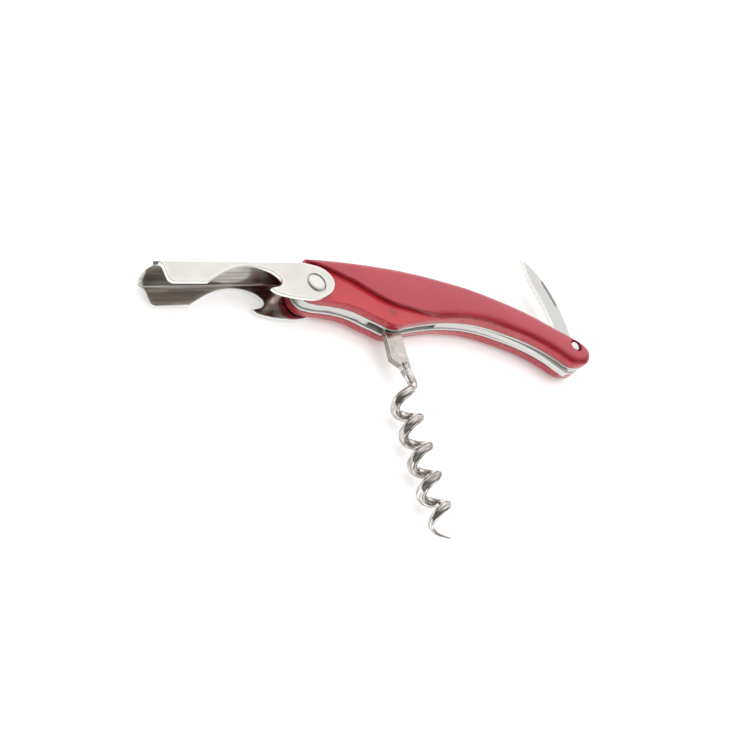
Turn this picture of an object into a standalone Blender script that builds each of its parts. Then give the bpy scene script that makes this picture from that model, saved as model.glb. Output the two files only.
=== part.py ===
"""Lever corkscrew, the folding kind that a waiter carries, lying on its side with lever, worm and blade open.

X runs from the lever's tip to the handle's tail, Y across the handle with the worm pointing to -Y, and Z
through the handle's thickness. Outlines are in millimetres from the lever's rivet at mid thickness. The
assembly is then stood on Z = 0 and centred, so the origin is the bottom centre of the whole object.
"""

import math

import bmesh
import bpy
from mathutils import Matrix, Vector

MM = 0.001

# Fits
GAP = 0.2  # between pieces that rest on each other
RUNNING = 0.1  # radial clearance of a pin in its hole

# Layers of the handle, measured from its middle plane
LINER_INNER = 1.3
LINER_OUTER = 2.1
CORE_HALF = LINER_INNER - GAP  # half thickness of what lies between the liners
SCALE_INNER = LINER_OUTER + GAP
RECESS_FACE = 4.4  # face that the folded lever's walls slide over
SCALE_FACE = 7.0  # outer face, flush with the folded lever
EDGE_ROUNDING = 2.6
CUT_ROOM = 2.0  # how far a cutter reaches past what it cuts
THROUGH = SCALE_FACE + CUT_ROOM

# Axes of the three hinges, as X and Y
LEVER_PIVOT = (0.0, 0.0)
WORM_PIVOT = (25.5, -8.8)
BLADE_PIVOT = (95.6, -22.5)

# Lever, a channel bent from sheet steel
LEVER_INNER = 5.15  # from the middle plane to a wall's inner face
SHEET = 1.25
LEVER_OUTER = LEVER_INNER + SHEET
BEND_RADIUS = 1.9
LEVER_TIP = -50.6
WEB_END = -2.2
WEB_HEIGHT = 7.1  # outer face of the web above the pivot, at half the lever's length
WEB_SLOPE = math.radians(1.5)
WALL_DEPTH = 16.0  # of the channel before its walls are cut to the outline
EARS_END = 12.0
EARS_BOTTOM = -1.0  # lowest point of the space cut between the ears

# Rivets and pins
LEVER_RIVET_RADIUS = 1.9
LEVER_RIVET_HEAD = 3.0
BLADE_RIVET_RADIUS = 1.2
BLADE_RIVET_HEAD = 1.6
LEVER_RIVET_DEPTH = 0.05  # of the head's top below the scale's face
BLADE_RIVET_DEPTH = 0.5
COUNTERBORE = 2.0
COUNTERBORE_FLOOR = 5.2
PIN_RADIUS = 1.0
WORM_PIN_RADIUS = 1.25
CORE_RIVETS = {
    "spacer_rivet_front": (11.0, 1.2),
    "spacer_rivet_rear": (46.0, -2.0),
    "spring_rivet_front": (47.6, -9.6),
    "spring_rivet_rear": (53.6, -9.9),
}
SCALE_STUD = (91.4, -24.6)
SCALE_STUD_END = 4.2

# Worm
WIRE_RADIUS = 1.55
HELIX_RADIUS = 3.0
HELIX_PITCH = 9.06
HELIX_FIRST_TURN = 0.07
HELIX_LAST_TURN = 4.94
HELIX_START = (21.55, -32.55)
HELIX_LEAN = math.radians(-3.7)
STEPS_PER_TURN = 20
SHANK_HALF = 1.0
TIP_TURNS = 0.9  # the last stretch, which tapers to the point
TIP_RADIUS = 0.2  # of the wire's radius
TIP_DRAW_IN = 0.1
TIP_REACH = 1.4

BLADE_HALF = 0.7

# Outlines. Each point is X, Y and whether the outline turns a corner or runs smoothly there.
SMOOTH, CORNER = "AUTO", "VECTOR"

HANDLE_OUTLINE = [
    (0.0, 9.1, CORNER), (3.0, 9.05, SMOOTH), (8.0, 8.65, SMOOTH), (18.0, 7.7, SMOOTH),
    (34.0, 5.5, SMOOTH), (50.0, 1.85, SMOOTH), (58.0, -0.4, SMOOTH), (66.0, -3.3, SMOOTH),
    (80.0, -9.3, SMOOTH), (90.0, -14.9, SMOOTH),
    (96.7, -18.8, SMOOTH), (100.6, -21.8, SMOOTH), (101.8, -24.9, SMOOTH), (99.9, -27.9, SMOOTH),
    (95.4, -28.9, SMOOTH), (91.6, -28.1, SMOOTH), (88.6, -25.7, SMOOTH), (80.6, -20.4, SMOOTH),
    (70.2, -15.8, SMOOTH), (60.0, -12.6, SMOOTH), (50.0, -11.4, SMOOTH), (40.0, -11.7, SMOOTH),
    (31.0, -12.8, SMOOTH), (25.4, -13.6, SMOOTH), (19.2, -10.8, SMOOTH), (12.0, -7.1, SMOOTH),
    (5.0, -5.5, SMOOTH), (0.0, -4.85, SMOOTH), (-3.4, -3.45, SMOOTH), (-4.85, 0.0, SMOOTH),
    (-3.6, 3.3, SMOOTH), (-1.8, 4.6, CORNER),
]
RIDGE = [
    (-1.7, 7.45, CORNER), (0.8, 7.1, SMOOTH), (4.5, 5.85, SMOOTH), (8.9, 3.7, SMOOTH),
    (14.3, 0.8, SMOOTH), (18.2, -1.9, SMOOTH), (22.2, -4.6, SMOOTH), (26.4, -6.8, SMOOTH),
    (31.0, -8.2, SMOOTH), (37.0, -9.8, SMOOTH), (44.6, -11.5, CORNER),
]
RECESS_OUTLINE = RIDGE + [
    (47.0, -16.0, CORNER), (20.0, -22.0, CORNER), (-12.0, -12.0, CORNER), (-12.0, 9.5, CORNER),
]
SPACER_OUTLINE = [
    (-1.3, 6.7, CORNER), (8.0, 6.9, SMOOTH), (18.0, 6.4, SMOOTH), (34.0, 4.1, SMOOTH),
    (50.0, 0.1, SMOOTH), (56.5, -1.9, SMOOTH), (57.6, -4.6, SMOOTH), (55.4, -6.4, SMOOTH),
    (46.0, -5.9, SMOOTH), (38.0, -4.9, SMOOTH), (31.0, -4.3, SMOOTH), (25.5, -4.3, SMOOTH),
    (21.6, -5.6, SMOOTH), (20.4, -8.0, SMOOTH), (19.0, -9.7, SMOOTH), (15.4, -8.1, SMOOTH),
    (7.6, -5.5, SMOOTH), (0.0, -4.45, SMOOTH), (-3.1, -3.2, SMOOTH), (-4.45, 0.0, SMOOTH),
    (-3.3, 3.0, SMOOTH), (-1.5, 4.4, CORNER),
]
SPRING_OUTLINE = [
    (44.3, -11.1, CORNER), (44.9, -8.4, SMOOTH), (49.0, -7.6, SMOOTH), (54.5, -7.9, SMOOTH),
    (58.5, -9.6, SMOOTH), (62.6, -11.2, SMOOTH), (70.2, -14.0, SMOOTH), (80.6, -19.3, SMOOTH),
    (86.1, -22.9, SMOOTH), (91.0, -26.9, SMOOTH), (93.0, -28.8, SMOOTH), (92.3, -29.9, SMOOTH),
    (89.8, -28.5, SMOOTH), (85.4, -24.6, SMOOTH), (80.6, -21.1, SMOOTH), (70.2, -15.9, SMOOTH),
    (60.0, -12.5, SMOOTH), (50.0, -11.2, SMOOTH),
]
LEVER_OUTLINE = [
    (LEVER_TIP, 9.5, CORNER), (WEB_END, 9.5, CORNER), (WEB_END, 6.9, CORNER), (0.6, 6.1, SMOOTH),
    (3.4, 5.2, SMOOTH), (5.6, 3.3, SMOOTH), (6.5, 0.8, SMOOTH), (5.7, -1.6, SMOOTH), (3.0, -4.0, SMOOTH),
    (-1.5, -5.45, SMOOTH), (-6.7, -5.2, SMOOTH), (-11.6, -4.4, SMOOTH), (-14.8, -3.3, SMOOTH),
    (-16.15, -2.1, CORNER), (-14.6, -1.75, SMOOTH), (-12.7, -1.2, SMOOTH), (-11.6, 0.2, SMOOTH),
    (-12.6, 2.2, SMOOTH), (-16.0, 4.2, SMOOTH), (-20.4, 4.9, SMOOTH), (-25.0, 4.4, SMOOTH),
    (-30.4, 2.4, SMOOTH), (-35.8, -0.55, CORNER), (-46.1, -0.8, CORNER), (-47.3, -0.1, SMOOTH),
    (-47.7, 1.4, SMOOTH), (-48.1, 3.6, SMOOTH), (-49.2, 5.0, SMOOTH), (LEVER_TIP, 5.3, CORNER),
]
SHANK_OUTLINE = [
    (25.5, -5.5, SMOOTH), (22.4, -6.8, SMOOTH), (21.9, -9.2, SMOOTH), (22.9, -11.6, SMOOTH),
    (22.8, -15.0, SMOOTH), (21.8, -22.6, CORNER), (24.7, -25.2, CORNER), (25.6, -28.6, SMOOTH),
    (26.9, -29.0, SMOOTH), (27.9, -26.4, SMOOTH), (28.5, -20.0, SMOOTH), (28.9, -14.0, SMOOTH),
    (29.0, -9.0, SMOOTH), (28.1, -6.6, SMOOTH),
]
WIRE_LEAD_IN = [
    (26.0, -24.0, 0.0), (26.5, -26.6, 0.0), (26.8, -28.8, 0.1), (26.7, -30.5, 0.3), (26.0, -31.9, 0.7),
]
BLADE_OUTLINE = [
    (93.3, 15.3, CORNER), (96.2, 11.8, SMOOTH), (99.2, 6.8, SMOOTH), (101.0, 1.2, SMOOTH),
    (101.7, -4.4, SMOOTH), (101.9, -9.5, SMOOTH), (101.5, -15.0, SMOOTH), (101.1, -21.0, SMOOTH),
    (99.6, -26.6, SMOOTH), (95.6, -28.6, SMOOTH), (91.4, -26.6, SMOOTH), (91.0, -20.8, SMOOTH),
    (93.2, -15.9, SMOOTH), (94.2, -11.0, SMOOTH), (94.1, -6.1, SMOOTH), (93.5, -0.5, SMOOTH),
    (92.8, 3.6, SMOOTH), (92.4, 8.0, SMOOTH), (92.55, 11.4, SMOOTH),
]

# Colour, metallic and roughness of each finish
FINISHES = {
    "red_acrylic": ((0.52, 0.02, 0.035), 0.0, 0.12),
    "polished_steel": ((0.83, 0.83, 0.80), 1.0, 0.15),
    "satin_steel": ((0.66, 0.67, 0.65), 1.0, 0.35),
    "spring_steel": ((0.55, 0.56, 0.54), 1.0, 0.30),
}


def clear_scene():
    for obj in list(bpy.data.objects):
        bpy.data.objects.remove(obj)


def new_collection(name):
    made = bpy.data.collections.new(name)
    bpy.context.scene.collection.children.link(made)
    return made


def make_finish(name):
    colour, metallic, roughness = FINISHES[name]
    material = bpy.data.materials.new(name)
    material.use_nodes = True
    shader = material.node_tree.nodes["Principled BSDF"]
    shader.inputs["Base Color"].default_value = (*colour, 1.0)
    shader.inputs["Metallic"].default_value = metallic
    shader.inputs["Roughness"].default_value = roughness
    return material


def hinge_axis(name, pivot, root):
    """An empty on a hinge's axis, which carries the pieces that turn about it."""
    empty = bpy.data.objects.new(name, None)
    empty.location = (pivot[0] * MM, pivot[1] * MM, 0.0)
    empty.parent = root
    PIECES.objects.link(empty)
    return empty


def place(obj, finish, carrier):
    """Gives a piece its finish and hangs it on its carrier, leaving it where its outline puts it."""
    obj.data.materials.clear()
    obj.data.materials.append(bpy.data.materials.get(finish) or make_finish(finish))
    obj.parent = carrier
    obj.location = obj.location - carrier.location
    return obj


def as_mesh(curve_object):
    """Turns a curve object into a mesh object whose caps are welded to its sides."""
    bpy.context.view_layer.update()
    graph = bpy.context.evaluated_depsgraph_get()
    mesh = bpy.data.meshes.new_from_object(curve_object.evaluated_get(graph))
    name, matrix = curve_object.name, curve_object.matrix_world.copy()
    bpy.data.objects.remove(curve_object)
    mesh.transform(matrix)
    bm = bmesh.new()
    bm.from_mesh(mesh)
    bmesh.ops.remove_doubles(bm, verts=bm.verts, dist=0.002 * MM)
    bmesh.ops.recalc_face_normals(bm, faces=bm.faces)
    bm.to_mesh(mesh)
    bm.free()
    obj = bpy.data.objects.new(name, mesh)
    PIECES.objects.link(obj)
    return obj


def plate(name, outline, low, high, resolution=4):
    """A flat piece with this outline, from height low to height high."""
    curve = bpy.data.curves.new(name, "CURVE")
    curve.dimensions = "2D"
    curve.fill_mode = "BOTH"
    curve.extrude = (high - low) / 2 * MM
    spline = curve.splines.new("BEZIER")
    spline.bezier_points.add(len(outline) - 1)
    spline.use_cyclic_u = True
    spline.resolution_u = resolution
    for point, (x, y, kind) in zip(spline.bezier_points, outline):
        point.co = (x * MM, y * MM, 0.0)
        point.handle_left_type = kind
        point.handle_right_type = kind
    obj = bpy.data.objects.new(name, curve)
    obj.location.z = (low + high) / 2 * MM
    PIECES.objects.link(obj)
    return as_mesh(obj)


def join_cap_triangles(obj):
    """Makes each flat cap one face, so that its edge can be rounded."""
    bm = bmesh.new()
    bm.from_mesh(obj.data)
    flat = [edge for edge in bm.edges if len(edge.link_faces) == 2 and is_cap_edge(edge)]
    bmesh.ops.dissolve_edges(bm, edges=flat, use_verts=False)
    bm.to_mesh(obj.data)
    bm.free()


def is_cap_edge(edge):
    return all(abs(face.normal.z) > 0.99 for face in edge.link_faces)


def round_outer_rim(obj, height, width):
    """Rounds the rim of the cap at this height."""
    join_cap_triangles(obj)
    bm = bmesh.new()
    bm.from_mesh(obj.data)
    rim = [edge for edge in bm.edges if all(abs(v.co.z - height * MM) < 0.01 * MM for v in edge.verts)]
    bmesh.ops.bevel(
        bm, geom=rim, offset=width * MM, segments=4, profile=0.5, affect="EDGES", clamp_overlap=False
    )
    bm.to_mesh(obj.data)
    bm.free()


def boolean(obj, other, operation="DIFFERENCE"):
    """Cuts obj with other, joins other to it or keeps what they share, and puts other away as a helper."""
    for holder in list(other.users_collection):
        holder.objects.unlink(other)
    HELPERS.objects.link(other)
    other.hide_render = True
    other.display_type = "WIRE"
    modifier = obj.modifiers.new(other.name, "BOOLEAN")
    modifier.operation = operation
    modifier.solver = "EXACT"
    modifier.object = other
    if other.parent is None:
        other.parent = ROOT


def cylinder(name, centre, radius, low, high, sides=24):
    bpy.ops.mesh.primitive_cylinder_add(
        vertices=sides,
        radius=radius * MM,
        depth=(high - low) * MM,
        location=(centre[0] * MM, centre[1] * MM, (low + high) / 2 * MM),
    )
    obj = bpy.context.object
    obj.name = name
    for holder in list(obj.users_collection):
        holder.objects.unlink(obj)
    PIECES.objects.link(obj)
    return obj


def box(name, low, high):
    """A box between two opposite corners."""
    middle = [(a + b) / 2 * MM for a, b in zip(low, high)]
    bpy.ops.mesh.primitive_cube_add(size=MM, location=middle)
    obj = bpy.context.object
    obj.name = name
    obj.data.transform(Matrix.Diagonal((*[b - a for a, b in zip(low, high)], 1.0)))
    return obj


def drill(obj, centre, radius, low=-THROUGH, high=THROUGH):
    boolean(obj, cylinder(f"{obj.name}_hole", centre, radius, low, high))


def turned(name, centre, profile, steps=30):
    """A piece turned about a vertical axis. The profile is radius and height, from its top down."""
    mesh = bpy.data.meshes.new(name)
    points = [(radius * MM, 0.0, height * MM) for radius, height in profile]
    mesh.from_pydata(points, [(i, i + 1) for i in range(len(points) - 1)], [])
    obj = bpy.data.objects.new(name, mesh)
    obj.location = (centre[0] * MM, centre[1] * MM, 0.0)
    screw = obj.modifiers.new("turn", "SCREW")
    screw.steps = screw.render_steps = steps
    screw.use_merge_vertices = True
    screw.merge_threshold = 0.00001
    screw.use_smooth_shade = False
    PIECES.objects.link(obj)
    return obj


def dome(radius, base, height, steps=3):
    """Profile of a domed head, from the axis out to its rim."""
    angles = [math.pi / 2 * i / steps for i in range(steps + 1)]
    return [(radius * math.sin(a), base + height * math.cos(a)) for a in angles]


def headed_rivet(name, centre, shaft, head, seat, top):
    """A rivet with a domed head at each end, peened against seats at plus and minus this height."""
    upper = dome(head, seat, top - seat) + [(shaft, seat)]
    lower = [(radius, -height) for radius, height in reversed(upper)]
    return turned(name, centre, upper + lower)


def make_scale(name, side):
    """One of the two handle scales: full thickness above the ridge, thinner where the lever folds."""
    scale = plate(name, HANDLE_OUTLINE, SCALE_INNER, SCALE_FACE)
    round_outer_rim(scale, SCALE_FACE, EDGE_ROUNDING)
    recess = plate(f"{name}_recess", RECESS_OUTLINE, RECESS_FACE, THROUGH)
    if side < 0:
        for piece in (scale, recess):
            turn_over(piece)
    boolean(scale, recess)
    drill(scale, LEVER_PIVOT, LEVER_RIVET_RADIUS + RUNNING)
    drill(scale, BLADE_PIVOT, BLADE_RIVET_RADIUS + RUNNING)
    drill(scale, BLADE_PIVOT, COUNTERBORE, *sorted((side * COUNTERBORE_FLOOR, side * THROUGH)))
    stud_hole = sorted((side * LINER_OUTER, side * (SCALE_STUD_END + GAP)))
    drill(scale, SCALE_STUD, PIN_RADIUS + RUNNING, *stud_hole)
    return place(scale, "red_acrylic", ROOT)


def turn_over(obj):
    """Mirrors a mesh through the handle's middle plane."""
    obj.data.transform(Matrix.Diagonal((1.0, 1.0, -1.0, 1.0)))
    obj.data.flip_normals()


def make_liner(name, side):
    liner = plate(name, HANDLE_OUTLINE, *sorted((side * LINER_INNER, side * LINER_OUTER)))
    drill(liner, LEVER_PIVOT, LEVER_RIVET_RADIUS + RUNNING)
    drill(liner, WORM_PIVOT, WORM_PIN_RADIUS + RUNNING)
    drill(liner, BLADE_PIVOT, BLADE_RIVET_RADIUS + RUNNING)
    drill(liner, SCALE_STUD, PIN_RADIUS + RUNNING)
    for centre in CORE_RIVETS.values():
        drill(liner, centre, PIN_RADIUS + RUNNING)
    return place(liner, "satin_steel", ROOT)


def make_spacer():
    spacer = plate("front_spacer", SPACER_OUTLINE, -CORE_HALF, CORE_HALF)
    drill(spacer, LEVER_PIVOT, LEVER_RIVET_RADIUS + RUNNING)
    for name in ("spacer_rivet_front", "spacer_rivet_rear"):
        drill(spacer, CORE_RIVETS[name], PIN_RADIUS + RUNNING)
    place(spacer, "satin_steel", ROOT)


def make_spring():
    spring = plate("back_spring", SPRING_OUTLINE, -CORE_HALF, CORE_HALF)
    for name in ("spring_rivet_front", "spring_rivet_rear"):
        drill(spring, CORE_RIVETS[name], PIN_RADIUS + RUNNING)
    place(spring, "spring_steel", ROOT)


def make_pins():
    for name, centre in CORE_RIVETS.items():
        place(cylinder(name, centre, PIN_RADIUS, -LINER_OUTER, LINER_OUTER), "satin_steel", ROOT)
    worm_pin = cylinder("worm_pin", WORM_PIVOT, WORM_PIN_RADIUS, -LINER_OUTER, LINER_OUTER)
    place(worm_pin, "satin_steel", ROOT)
    for name, side in (("upper_scale_stud", 1), ("lower_scale_stud", -1)):
        span = sorted((side * LINER_INNER, side * SCALE_STUD_END))
        place(cylinder(name, SCALE_STUD, PIN_RADIUS, *span), "satin_steel", ROOT)


def make_rivets():
    lever_rivet = headed_rivet(
        "lever_rivet",
        LEVER_PIVOT,
        LEVER_RIVET_RADIUS,
        LEVER_RIVET_HEAD,
        LEVER_OUTER + RUNNING,
        SCALE_FACE - LEVER_RIVET_DEPTH,
    )
    place(lever_rivet, "polished_steel", ROOT)
    blade_rivet = headed_rivet(
        "blade_rivet",
        BLADE_PIVOT,
        BLADE_RIVET_RADIUS,
        BLADE_RIVET_HEAD,
        COUNTERBORE_FLOOR + GAP,
        SCALE_FACE - BLADE_RIVET_DEPTH,
    )
    place(blade_rivet, "polished_steel", ROOT)


def channel_section():
    """The bent sheet's cross-section: each point's place across the lever, and above the web's outer face."""
    outer, inner = BEND_RADIUS, BEND_RADIUS - SHEET
    quarter = [math.pi / 2 * i / 4 for i in range(5)]
    right = [(LEVER_OUTER, -WALL_DEPTH)]
    right += [(LEVER_OUTER - outer + outer * math.cos(a), -outer + outer * math.sin(a)) for a in quarter]
    left = [(-z, y) for z, y in reversed(right)]
    inside = [(-LEVER_INNER, -WALL_DEPTH)]
    inside += [(-LEVER_INNER + inner - inner * math.cos(a), -outer + inner * math.sin(a)) for a in quarter]
    inside += [(-z, y) for z, y in reversed(inside)]
    return right + left + inside


def make_channel(name, start, end):
    """The bent sheet as a straight channel along X, open downwards, before its sides are cut to shape."""
    bm = bmesh.new()
    first = [bm.verts.new((start * MM, y * MM, z * MM)) for z, y in channel_section()]
    face = bm.faces.new(first)
    made = bmesh.ops.extrude_face_region(bm, geom=[face])
    far = [item for item in made["geom"] if isinstance(item, bmesh.types.BMVert)]
    bmesh.ops.translate(bm, verts=far, vec=((end - start) * MM, 0.0, 0.0))
    middle = (LEVER_TIP / 2 * MM, 0.0, 0.0)
    bmesh.ops.rotate(bm, verts=bm.verts, cent=middle, matrix=Matrix.Rotation(WEB_SLOPE, 3, "Z"))
    bmesh.ops.translate(bm, verts=bm.verts, vec=(0.0, WEB_HEIGHT * MM, 0.0))
    bmesh.ops.recalc_face_normals(bm, faces=bm.faces)
    mesh = bpy.data.meshes.new(name)
    bm.to_mesh(mesh)
    bm.free()
    obj = bpy.data.objects.new(name, mesh)
    PIECES.objects.link(obj)
    return obj


def make_lever(axis):
    """The channel cut to the side outline, with its web cut away between the two ears."""
    lever = make_channel("lever", LEVER_TIP - CUT_ROOM, EARS_END)
    boolean(lever, plate("lever_sides", LEVER_OUTLINE, -THROUGH, THROUGH), "INTERSECT")
    low = (WEB_END, EARS_BOTTOM, -LEVER_INNER)
    high = (EARS_END + CUT_ROOM, EARS_END, LEVER_INNER)
    boolean(lever, box("lever_web_cut", low, high))
    drill(lever, LEVER_PIVOT, LEVER_RIVET_RADIUS + RUNNING)
    place(lever, "polished_steel", axis)


def helix_points():
    """Centre line and thickness of the worm's wire: its lead-in, then a right-handed helix that tapers."""
    points = [(Vector(point), 1.0) for point in WIRE_LEAD_IN]
    along = Vector((math.sin(HELIX_LEAN), -math.cos(HELIX_LEAN), 0.0))
    across = Vector((math.cos(HELIX_LEAN), math.sin(HELIX_LEAN), 0.0))
    turns = HELIX_LAST_TURN - HELIX_FIRST_TURN
    steps = round(turns * STEPS_PER_TURN)
    for step in range(steps + 1):
        turn = HELIX_FIRST_TURN + turns * step / steps
        left = HELIX_LAST_TURN - turn
        taper = max(0.0, 1.0 - left / TIP_TURNS)
        thickness = 1.0 - (1.0 - TIP_RADIUS) * taper**1.5
        radius = HELIX_RADIUS * (1.0 - TIP_DRAW_IN * taper**2)
        angle = 2 * math.pi * turn
        centre = Vector((*HELIX_START, 0.0)) + along * (turn * HELIX_PITCH + TIP_REACH * taper**2)
        offset = across * (radius * math.cos(angle)) + Vector((0.0, 0.0, radius * math.sin(angle)))
        points.append((centre + offset, thickness))
    return points


def make_worm(axis):
    """Flat shank with its tang, joined to the pointed helix."""
    curve = bpy.data.curves.new("worm_wire", "CURVE")
    curve.dimensions = "3D"
    curve.bevel_depth = WIRE_RADIUS * MM
    curve.bevel_resolution = 2
    curve.use_fill_caps = True
    spline = curve.splines.new("POLY")
    points = helix_points()
    spline.points.add(len(points) - 1)
    for point, (place_mm, thickness) in zip(spline.points, points):
        point.co = (*(place_mm * MM), 1.0)
        point.radius = thickness
    wire = bpy.data.objects.new("worm_wire", curve)
    PIECES.objects.link(wire)
    worm = plate("worm", SHANK_OUTLINE, -SHANK_HALF, SHANK_HALF)
    boolean(worm, as_mesh(wire), "UNION")
    drill(worm, WORM_PIVOT, WORM_PIN_RADIUS + RUNNING)
    place(worm, "polished_steel", axis)


def make_blade(axis):
    blade = plate("knife_blade", BLADE_OUTLINE, -BLADE_HALF, BLADE_HALF)
    drill(blade, BLADE_PIVOT, BLADE_RIVET_RADIUS + RUNNING)
    place(blade, "satin_steel", axis)


def stand_on_ground(root):
    """Moves the assembly so that the origin is the bottom centre of its box."""
    bpy.context.view_layer.update()
    graph = bpy.context.evaluated_depsgraph_get()
    corners = []
    for obj in PIECES.objects:
        if obj.type == "MESH":
            seen = obj.evaluated_get(graph)
            corners += [seen.matrix_world @ Vector(corner) for corner in seen.bound_box]
    low = Vector([min(corner[i] for corner in corners) for i in range(3)])
    high = Vector([max(corner[i] for corner in corners) for i in range(3)])
    root.location = (-(low.x + high.x) / 2, -(low.y + high.y) / 2, -low.z)


clear_scene()
PIECES = new_collection("lever_corkscrew")
HELPERS = new_collection("cutters")
HELPERS.hide_render = True
ROOT = bpy.data.objects.new("handle", None)
PIECES.objects.link(ROOT)
make_scale("upper_scale", 1)
make_scale("lower_scale", -1)
make_liner("upper_liner", 1)
make_liner("lower_liner", -1)
make_spacer()
make_spring()
make_pins()
make_rivets()
make_lever(hinge_axis("lever_axis", LEVER_PIVOT, ROOT))
make_worm(hinge_axis("worm_axis", WORM_PIVOT, ROOT))
make_blade(hinge_axis("blade_axis", BLADE_PIVOT, ROOT))
stand_on_ground(ROOT)
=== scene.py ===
import math

import bmesh
import bpy
import numpy as np
from mathutils import Matrix, Vector, geometry
from mathutils.kdtree import KDTree


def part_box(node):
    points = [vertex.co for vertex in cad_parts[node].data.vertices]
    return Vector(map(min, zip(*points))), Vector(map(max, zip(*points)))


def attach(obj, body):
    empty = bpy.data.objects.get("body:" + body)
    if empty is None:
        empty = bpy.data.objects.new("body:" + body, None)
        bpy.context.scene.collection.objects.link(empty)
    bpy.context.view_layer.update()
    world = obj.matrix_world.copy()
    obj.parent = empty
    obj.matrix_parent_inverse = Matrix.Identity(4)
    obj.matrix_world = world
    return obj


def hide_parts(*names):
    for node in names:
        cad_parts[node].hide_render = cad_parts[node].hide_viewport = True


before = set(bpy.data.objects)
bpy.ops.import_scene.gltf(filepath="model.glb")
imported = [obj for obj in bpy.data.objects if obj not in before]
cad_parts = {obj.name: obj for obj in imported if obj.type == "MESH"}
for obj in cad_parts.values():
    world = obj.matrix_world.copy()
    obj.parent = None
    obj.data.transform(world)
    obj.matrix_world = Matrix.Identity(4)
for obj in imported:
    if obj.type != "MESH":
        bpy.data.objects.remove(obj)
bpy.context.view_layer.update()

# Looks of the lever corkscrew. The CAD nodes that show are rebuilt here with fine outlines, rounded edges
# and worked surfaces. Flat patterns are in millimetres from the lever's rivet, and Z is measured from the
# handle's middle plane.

MM = 0.001
AUTO_HANDLE = 2.5614  # makes a Bezier handle's length suit a smooth curve
EDGE_ZONE_REACH = 0.3  # how far in from a rim the edge zone reaches; steel is painted brighter there, acrylic paler
PLATE_CREASE = math.radians(38)  # edges sharper than this stay sharp
WORM_CREASE = math.radians(35)
RIVET_CREASE = math.radians(40)
PIVOT = (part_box("lever_rivet")[0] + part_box("lever_rivet")[1]) / 2

# Layers of the handle
LINER_INNER = 1.3
LINER_OUTER = 2.1
CORE_HALF = 1.1
SCALE_INNER = 2.3
RECESS_FACE = 4.85
SCALE_FACE = 7.0
EDGE_ROUNDING = 2.6
CROWN_REACH = 7.5  # how far in from the rim the scale's face still rises
CROWN = 0.35
RIDGE_WIDTH = 0.5
RIDGE_DIP = 0.65  # how much lower the raised face is where it meets the ridge
RIDGE_REACH = 9.0
TAIL_THINNING = 0.5
TAIL_START, TAIL_END = 60.0, 94.0

WORM_PIVOT = (25.5, -8.8)
BLADE_PIVOT = (95.6, -22.5)
RIVET_HOLE = 2.0
PIN_HOLE = 1.35
BLADE_HOLE = 1.3
COUNTERBORE = 2.0
COUNTERBORE_FLOOR = 5.2
COUNTERBORE_WALL = 0.25  # width of the sloping wall round the counterbore
LINER_RIM = 0.12
CORE_RIM = 0.15

# Lever
LEVER_OUTER = 6.4
SHEET = 1.25
BEND_RADIUS = 1.9
LEVER_TIP = -50.1
WEB_END = -2.2
WEB_HEIGHT = 7.1
WEB_SLOPE = math.tan(math.radians(1.5))
WEB_FLAT = LEVER_OUTER - BEND_RADIUS  # half width of the web between its bends
BEND_LENGTH = BEND_RADIUS * math.pi / 2
TIP_BULGE = 0.9  # how far the web's end bows out beyond its corners
FLARE = 0.085  # share by which the channel is wider at its tip than at its ears
FLARE_START = -8.0
SCOOP_START = -42.0
RIVET_HEAD = 2.72
RIVET_SINK = 0.4  # how deep the wall is spotfaced round the rivet's head
SPOTFACE = 3.05
SCOOP_RISE = 0.6
LEVER_RIM = 0.22

# Worm
WIRE_RADIUS = 1.55
WIRE_SIDES = 32
HELIX_RADIUS = 3.0
HELIX_PITCH = 9.06
HELIX_FIRST_TURN = 0.07
HELIX_LAST_TURN = 4.94
HELIX_START = (21.55, -32.55)
HELIX_LEAN = math.radians(-3.7)
STEPS_PER_TURN = 60
SHANK_HALF = 1.0
SHANK_RIM = 0.25
TIP_TURNS = 0.9
STREAKS_START = -27.0
STREAK_SLOWNESS = 0.12  # how little the wire's streaks change along it
WIRE_GAP = 0.05 * MM  # a point nearer than this to the wire's skin is on the wire
TIP_RADIUS = 0.14  # of the wire's radius
TIP_DRAW_IN = 0.1
TIP_REACH = 1.4

# Blade
BLADE_HALF = 0.7
EDGE_HALF = 0.06
BLADE_RIM = 0.15
GRIND_WIDTH = 1.4
GRIND_END = -15.0  # the ground edge stops short of the handle here
NAIL_NICK = ((99.0, 5.2), (100.8, -4.0))
NICK_HALF_WIDTH = 0.55
NICK_DEPTH = 0.5

SMOOTH, CORNER = "smooth", "corner"

HANDLE_OUTLINE = [
    (0.0, 9.1, CORNER), (3.0, 9.05, SMOOTH), (8.0, 8.65, SMOOTH), (18.0, 7.7, SMOOTH),
    (34.0, 5.5, SMOOTH), (50.0, 1.85, SMOOTH), (58.0, -0.4, SMOOTH), (66.0, -3.3, SMOOTH),
    (80.0, -9.3, SMOOTH), (90.0, -14.9, SMOOTH),
    (96.7, -18.8, SMOOTH), (100.6, -21.8, SMOOTH), (101.8, -24.9, SMOOTH), (99.9, -27.9, SMOOTH),
    (95.4, -28.9, SMOOTH), (91.6, -28.1, SMOOTH), (88.6, -25.7, SMOOTH), (80.6, -20.4, SMOOTH),
    (70.2, -15.8, SMOOTH), (60.0, -12.6, SMOOTH), (50.0, -11.4, SMOOTH), (40.0, -11.7, SMOOTH),
    (31.0, -12.8, SMOOTH), (25.4, -13.6, SMOOTH), (19.2, -10.8, SMOOTH), (12.0, -7.1, SMOOTH),
    (5.0, -5.5, SMOOTH), (0.0, -4.85, SMOOTH), (-3.4, -3.45, SMOOTH), (-4.85, 0.0, SMOOTH),
    (-3.6, 3.3, SMOOTH), (-1.8, 4.6, CORNER),
]
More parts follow.
